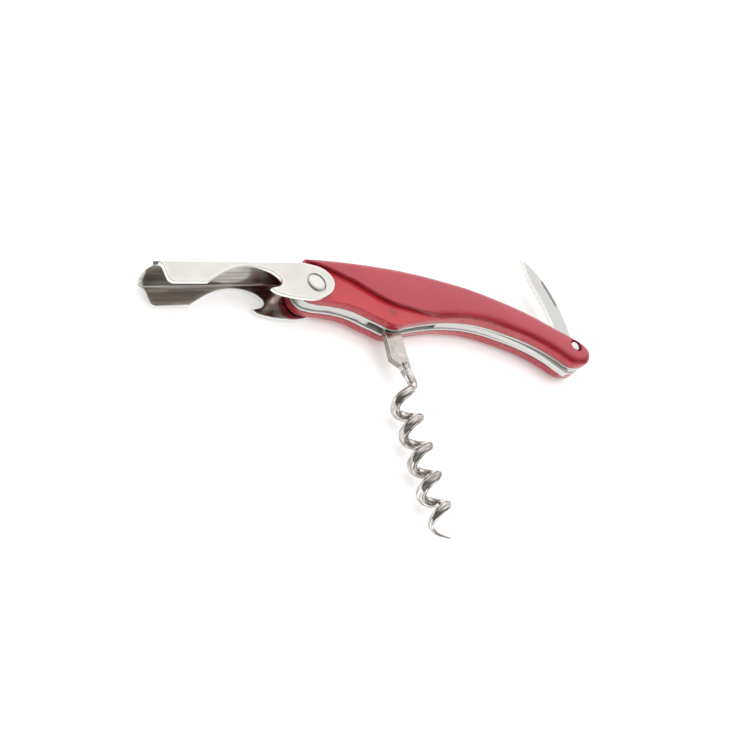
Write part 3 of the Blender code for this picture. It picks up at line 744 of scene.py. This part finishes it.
class Nodes:
    """Small helper that adds and links the nodes of one material."""

    def __init__(self, name):
        self.material = bpy.data.materials.new(name)
        self.material.use_nodes = True
        self.tree = self.material.node_tree
        self.shader = self.tree.nodes["Principled BSDF"]

    def add(self, kind, **settings):
        node = self.tree.nodes.new(kind)
        for key, value in settings.items():
            setattr(node, key, value)
        return node

    def link(self, source, target):
        self.tree.links.new(source, target)

    def fixed(self, **values):
        """Values that are the same all over, set on the shader's own sockets."""
        for key, value in values.items():
            self.shader.inputs[key.replace("_", " ")].default_value = value

    def noise(self, scale, detail=3.0, stretch=(1.0, 1.0, 1.0), roughness=0.5):
        coordinates = self.add("ShaderNodeTexCoord")
        mapping = self.add("ShaderNodeMapping")
        mapping.inputs["Scale"].default_value = stretch
        self.link(coordinates.outputs["Object"], mapping.inputs["Vector"])
        return self.noise_on(mapping.outputs["Vector"], scale, detail, roughness)

    def noise_on(self, vector, scale, detail, roughness=0.5):
        noise = self.add("ShaderNodeTexNoise")
        noise.inputs["Scale"].default_value = scale
        noise.inputs["Detail"].default_value = detail
        noise.inputs["Roughness"].default_value = roughness
        self.link(vector, noise.inputs["Vector"])
        return noise.outputs["Fac"]

    def height(self):
        """How far a point is from the handle's middle plane, in metres."""
        coordinates = self.add("ShaderNodeTexCoord")
        parts = self.add("ShaderNodeSeparateXYZ")
        self.link(coordinates.outputs["Object"], parts.inputs["Vector"])
        return self.maths("ABSOLUTE", parts.outputs["Z"], 0.0)

    def away_from(self, axis):
        """Distance in metres from a vertical axis through the handle."""
        coordinates = self.add("ShaderNodeTexCoord")
        level = self.add("ShaderNodeVectorMath", operation="MULTIPLY")
        level.inputs[1].default_value = (1.0, 1.0, 0.0)
        self.link(coordinates.outputs["Object"], level.inputs[0])
        gap = self.add("ShaderNodeVectorMath", operation="DISTANCE")
        gap.inputs[1].default_value = (axis[0] * MM, axis[1] * MM, 0.0)
        self.link(level.outputs["Vector"], gap.inputs[0])
        return gap.outputs["Value"]

    def ranged(self, value, low, high, start=0.3, end=0.7):
        """Maps start..end of a value to low..high."""
        node = self.add("ShaderNodeMapRange")
        node.inputs["From Min"].default_value = start
        node.inputs["From Max"].default_value = end
        node.inputs["To Min"].default_value = low
        node.inputs["To Max"].default_value = high
        self.link(value, node.inputs["Value"])
        return node.outputs["Result"]

    def maths(self, operation, first, second):
        node = self.add("ShaderNodeMath", operation=operation)
        for socket, value in zip(node.inputs, (first, second)):
            if isinstance(value, float):
                socket.default_value = value
            else:
                self.link(value, socket)
        return node.outputs["Value"]

    def mixed(self, share, first, second):
        """A colour between two, each a colour or a socket."""
        node = self.add("ShaderNodeMix", data_type="RGBA")
        self.link(share, node.inputs["Factor"])
        for name, value in (("A", first), ("B", second)):
            socket = [s for s in node.inputs if s.name == name and s.type == "RGBA"][0]
            if isinstance(value, tuple):
                socket.default_value = (*value, 1.0)
            else:
                self.link(value, socket)
        return [s for s in node.outputs if s.type == "RGBA"][0]

    def rim_patches(self, patches):
        """How strongly a rim is marked: near 1 on bare corners, broken up by patches, and 0 on open faces."""
        attribute = self.add("ShaderNodeAttribute", attribute_name="edge_zone")
        return self.maths("MULTIPLY", attribute.outputs["Fac"], patches)

    def bump(self, height, strength, distance_m):
        node = self.add("ShaderNodeBump")
        node.inputs["Strength"].default_value = strength
        node.inputs["Distance"].default_value = distance_m
        self.link(height, node.inputs["Height"])
        self.link(node.outputs["Normal"], self.shader.inputs["Normal"])


def make_steel(name, colour, dark, roughness, grain=(1.0, 1.0, 1.0), metal=1.0, edge=EDGE_POLISH_AND_SHEEN,
               painted_shade_inside=False):
    """Stainless steel with fine grinding lines, faint clouding, small scratches and brighter edges: partly
    rubbed polish, partly a painted highlight.
    """
    n = Nodes(name)
    n.fixed(Metallic=metal, IOR=2.5)
    clouds = n.noise(140.0, 3.0)
    lines = n.noise(2600.0, 4.0, grain, 0.6)
    scratches = n.noise(900.0, 2.0, (0.12, 1.6, 1.0), 0.7)
    edge_zone = n.rim_patches(n.ranged(n.noise(700.0, 3.0), 0.6, 1.0))
    tone = n.mixed(n.ranged(clouds, 0.0, 1.0, 0.35, 0.65), dark, colour)
    # Painted shade: the channel's inner face is painted darker in long streaks, standing in for its shade and
    # dark reflection bands.
    if painted_shade_inside:
        streaks = n.ranged(n.noise(700.0, 2.0, (0.03, 1.0, 1.0)), 0.1, 1.0, 0.42, 0.58)
        inside = n.add("ShaderNodeAttribute", attribute_name="inside").outputs["Fac"]
        tone = n.mixed(n.maths("MULTIPLY", streaks, inside), tone, INSIDE_SHADE_STREAK)
    n.link(n.mixed(edge_zone, tone, edge), n.shader.inputs["Base Color"])
    satin = n.ranged(lines, roughness[0], roughness[1])
    rubbed = n.ranged(scratches, 0.0, 0.06, 0.62, 0.75)
    n.link(n.maths("ADD", satin, rubbed), n.shader.inputs["Roughness"])
    n.bump(n.maths("ADD", lines, n.maths("MULTIPLY", scratches, 0.5)), 0.02, 0.00003)
    return n.material


def make_forged_steel():
    """Drawn and polished wire: bright, with painted dark reflection streaks, painted glints and shallow flats
    that run along it.
    """
    n = Nodes("worm_steel")
    n.fixed(Metallic=1.0, IOR=2.5)
    along = n.add("ShaderNodeAttribute", attribute_name="streaks").outputs["Vector"]
    broad = n.noise_on(along, 1.6, 2.0)
    fine = n.noise_on(along, 3.6, 3.0)
    clouds = n.ranged(n.noise(400.0, 3.0), 0.0, 1.0, 0.35, 0.65)
    tone = n.mixed(clouds, (0.505, 0.475, 0.45), (0.54, 0.51, 0.48))
    # Painted reflection: dark streaks and bright glints painted along the wire stand in for its streaky
    # reflections.
    tone = n.mixed(n.ranged(fine, 0.0, 0.7, 0.52, 0.62), tone, WIRE_DARK_REFLECTION)
    tone = n.mixed(n.ranged(fine, 0.0, 0.9, 0.47, 0.38), tone, WIRE_GLINT)
    rim = n.add("ShaderNodeAttribute", attribute_name="edge_zone").outputs["Fac"]
    # The shank's rims are painted brighter: partly rubbed polish, partly a painted highlight.
    tone = n.mixed(n.ranged(rim, 0.0, 0.6, 0.3, 0.7), tone, EDGE_POLISH_AND_SHEEN)
    # The shank's cut sides are painted dark: partly rough-sheared steel, partly a painted reflection of the
    # shade under the handle.
    side_patches = n.ranged(n.noise(700.0, 3.0), 0.75, 1.0)
    sides = n.maths("MULTIPLY", n.ranged(rim, 0.0, 1.0, 0.88, 0.98), side_patches)
    n.link(n.mixed(sides, tone, SIDE_SHEAR_AND_SHADE), n.shader.inputs["Base Color"])
    n.link(n.ranged(fine, 0.08, 0.22), n.shader.inputs["Roughness"])
    n.bump(n.maths("ADD", broad, n.maths("MULTIPLY", fine, 0.4)), 0.5, 0.0003)
    return n.material


def make_acrylic():
    """Translucent cherry-red acrylic: cloudy depth, a polished skin with faint rub marks, paler towards its
    rims, and painted shade on the ridge's wall.
    """
    n = Nodes("red_acrylic_polished")
    n.fixed(Metallic=0.0, IOR=1.49, Transmission_Weight=0.3, Specular_IOR_Level=0.5)
    n.fixed(Coat_Weight=0.3, Coat_Roughness=0.1, Coat_IOR=1.49)
    clouds = n.ranged(n.noise(90.0, 4.0), 0.0, 1.0)
    thick = n.ranged(n.height(), 0.0, 1.0, 0.0048, 0.0060)
    deep = n.mixed(clouds, (0.51, 0.036, 0.064), (0.56, 0.044, 0.074))
    bright = n.mixed(clouds, (0.58, 0.024, 0.040), (0.66, 0.030, 0.048))
    tone = n.mixed(thick, bright, deep)
    # Painted shade: the ridge's wall, and the rounded rim at the same heights, are painted darker red.
    wall = n.maths("MULTIPLY", n.ranged(n.height(), 0.0, 1.0, 0.0049, 0.0052),
                   n.ranged(n.height(), 1.0, 0.0, 0.0057, 0.0064))
    tone = n.mixed(wall, tone, RIDGE_WALL_SHADE_RED)
    pin_shows = n.ranged(n.away_from(WORM_PIVOT), 0.6, 0.0, 0.0010, 0.0020)
    tone = n.mixed(pin_shows, tone, PIN_TINT)
    # Paler red towards the rims.
    edge_zone = n.rim_patches(n.ranged(n.noise(900.0, 3.0), 0.0, 0.35))
    n.link(n.mixed(edge_zone, tone, RIM_PALE_RED), n.shader.inputs["Base Color"])
    rubs = n.noise(700.0, 3.0, (0.25, 1.4, 1.0), 0.65)
    n.link(n.ranged(rubs, 0.14, 0.26), n.shader.inputs["Roughness"])
    skin = n.noise(420.0, 2.0)
    n.bump(n.maths("ADD", skin, n.maths("MULTIPLY", rubs, 0.3)), 0.04, 0.0001)
    absorb = n.add("ShaderNodeVolumeAbsorption")
    absorb.inputs["Color"].default_value = (1.0, 0.12, 0.16, 1.0)
    absorb.inputs["Density"].default_value = 120.0
    output = next(node for node in n.tree.nodes if node.type == "OUTPUT_MATERIAL")
    n.link(absorb.outputs["Volume"], output.inputs["Volume"])
    return n.material


def make_floor():
    n = Nodes("white_table")
    n.fixed(Specular_IOR_Level=0.2, Emission_Color=(1.0, 1.0, 1.0, 1.0), Emission_Strength=0.28)
    tone = n.noise(3.0, 2.0)
    n.link(n.mixed(tone, (0.90, 0.90, 0.90), (0.93, 0.93, 0.93)), n.shader.inputs["Base Color"])
    n.link(n.ranged(n.noise(60.0, 2.0), 0.5, 0.6), n.shader.inputs["Roughness"])
    bpy.ops.mesh.primitive_plane_add(size=FLOOR_SIZE_M)
    floor = bpy.context.object
    floor.name = "table_top"
    floor.data.materials.append(n.material)


def finish_hidden_pins():
    """The pins and studs keep their CAD shape and get their steel."""
    for name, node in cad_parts.items():
        if not node.hide_render:
            node.data.materials.clear()
            node.data.materials.append(PIN_STEEL)


# ---------------------------------------------------------------- light and camera

LENS = 58.64
CAMERA_FROM_RIVET = (-201.478, -155.821, 248.400)
CAMERA_AZIMUTH = math.radians(-59.23)
CAMERA_ELEVATION = math.radians(44.67)
CAMERA_ROLL = math.radians(47.5)
FLOOR_SIZE_M = 4.0
BRIGHT_SIDE = (0.45, 0.65, 0.61)
DIM_STRENGTH = 0.2
BRIGHT_STRENGTH = 1.25
STUDIO_WHITE = (1.0, 0.985, 0.965, 1.0)


def make_camera():
    """Seen from the lever's side of the worm, 45 degrees down, with the tool's length across the picture."""
    data = bpy.data.cameras.new("camera")
    data.lens = LENS
    data.sensor_width = 36.0
    camera = bpy.data.objects.new("camera", data)
    bpy.context.scene.collection.objects.link(camera)
    a, e = CAMERA_AZIMUTH, CAMERA_ELEVATION
    back = Vector((math.sin(a) * math.cos(e), -math.cos(a) * math.cos(e), math.sin(e)))
    level = Vector((math.cos(a), math.sin(a), 0.0))
    right = Matrix.Rotation(CAMERA_ROLL, 3, back) @ level
    up = back.cross(right)
    turned_to = Matrix((right, up, back)).transposed().to_4x4()
    camera.matrix_world = Matrix.Translation(PIVOT + Vector(CAMERA_FROM_RIVET) * MM) @ turned_to
    bpy.context.scene.camera = camera


def make_world():
    """A white studio: bright overhead and behind the tool, dimmer low down on the camera's side."""
    world = bpy.data.worlds.new("studio")
    bpy.context.scene.world = world
    world.use_nodes = True
    tree = world.node_tree
    coordinates = tree.nodes.new("ShaderNodeTexCoord")
    dot = tree.nodes.new("ShaderNodeVectorMath")
    dot.operation = "DOT_PRODUCT"
    dot.inputs[1].default_value = Vector(BRIGHT_SIDE).normalized()
    ramp = tree.nodes.new("ShaderNodeMapRange")
    ramp.interpolation_type = "SMOOTHSTEP"
    ramp.inputs["From Min"].default_value = 0.1
    ramp.inputs["From Max"].default_value = 0.95
    ramp.inputs["To Min"].default_value = DIM_STRENGTH
    ramp.inputs["To Max"].default_value = BRIGHT_STRENGTH
    background = tree.nodes["Background"]
    background.inputs["Color"].default_value = STUDIO_WHITE
    tree.links.new(coordinates.outputs["Generated"], dot.inputs[0])
    tree.links.new(dot.outputs["Value"], ramp.inputs["Value"])
    tree.links.new(ramp.outputs["Result"], background.inputs["Strength"])


def make_softbox(name, direction, distance_m, size, power, mirrored=False):
    data = bpy.data.lights.new(name, "AREA")
    data.shape = "DISK"
    data.size = size
    data.energy = power
    light = bpy.data.objects.new(name, data)
    bpy.context.scene.collection.objects.link(light)
    towards = Vector(direction).normalized()
    light.location = PIVOT + towards * distance_m
    light.rotation_euler = towards.to_track_quat("Z", "Y").to_euler()
    light.visible_camera = False
    light.visible_glossy = mirrored
    light.visible_diffuse = not mirrored


ACRYLIC = make_acrylic()
LEVER_STEEL = make_steel(
    "lever_steel", (0.70, 0.68, 0.655), (0.65, 0.63, 0.605), (0.12, 0.20), BRUSHED, painted_shade_inside=True
)
WORM_STEEL = make_forged_steel()
RIVET_STEEL = make_steel("rivet_steel", (0.76, 0.755, 0.74), (0.71, 0.70, 0.69), (0.08, 0.16))
BLADE_STEEL = make_steel("blade_steel", (0.60, 0.60, 0.59), (0.57, 0.57, 0.56), (0.24, 0.36), BRUSHED_ACROSS)
SATIN_STEEL = make_steel(
    "satin_steel", (0.66, 0.67, 0.65), (0.60, 0.61, 0.59), (0.30, 0.45), BRUSHED, 0.5, CUT_EDGE
)
SPRING_STEEL = make_steel(
    "spring_steel", (0.62, 0.63, 0.61), (0.58, 0.59, 0.57), (0.32, 0.42), BRUSHED, 0.5, CUT_EDGE
)
PIN_STEEL = make_steel("pin_steel", (0.62, 0.62, 0.60), (0.55, 0.55, 0.53), (0.25, 0.40))

make_camera()
make_world()
make_softbox("key_softbox", (0.05, 0.0, 1.0), 1.2, 2.2, 14.5)
make_softbox("fill_softbox", (-0.20, -0.80, 0.55), 1.2, 1.2, 1.5)
make_softbox("front_card", (0.57, -0.80, 0.19), 1.2, 0.8, 0.8, mirrored=True)
make_floor()
make_scale("scale_upper_crowned", 1, "upper_scale")
make_scale("scale_lower_crowned", -1, "lower_scale")
make_liner("liner_upper_sheet", LINER_INNER, LINER_OUTER, "upper_liner")
make_liner("liner_lower_sheet", -LINER_OUTER, -LINER_INNER, "lower_liner")
make_core()
make_lever()
make_worm()
make_blade()
make_rivets()
finish_hidden_pins()
bpy.context.scene.view_settings.view_transform = "Standard"
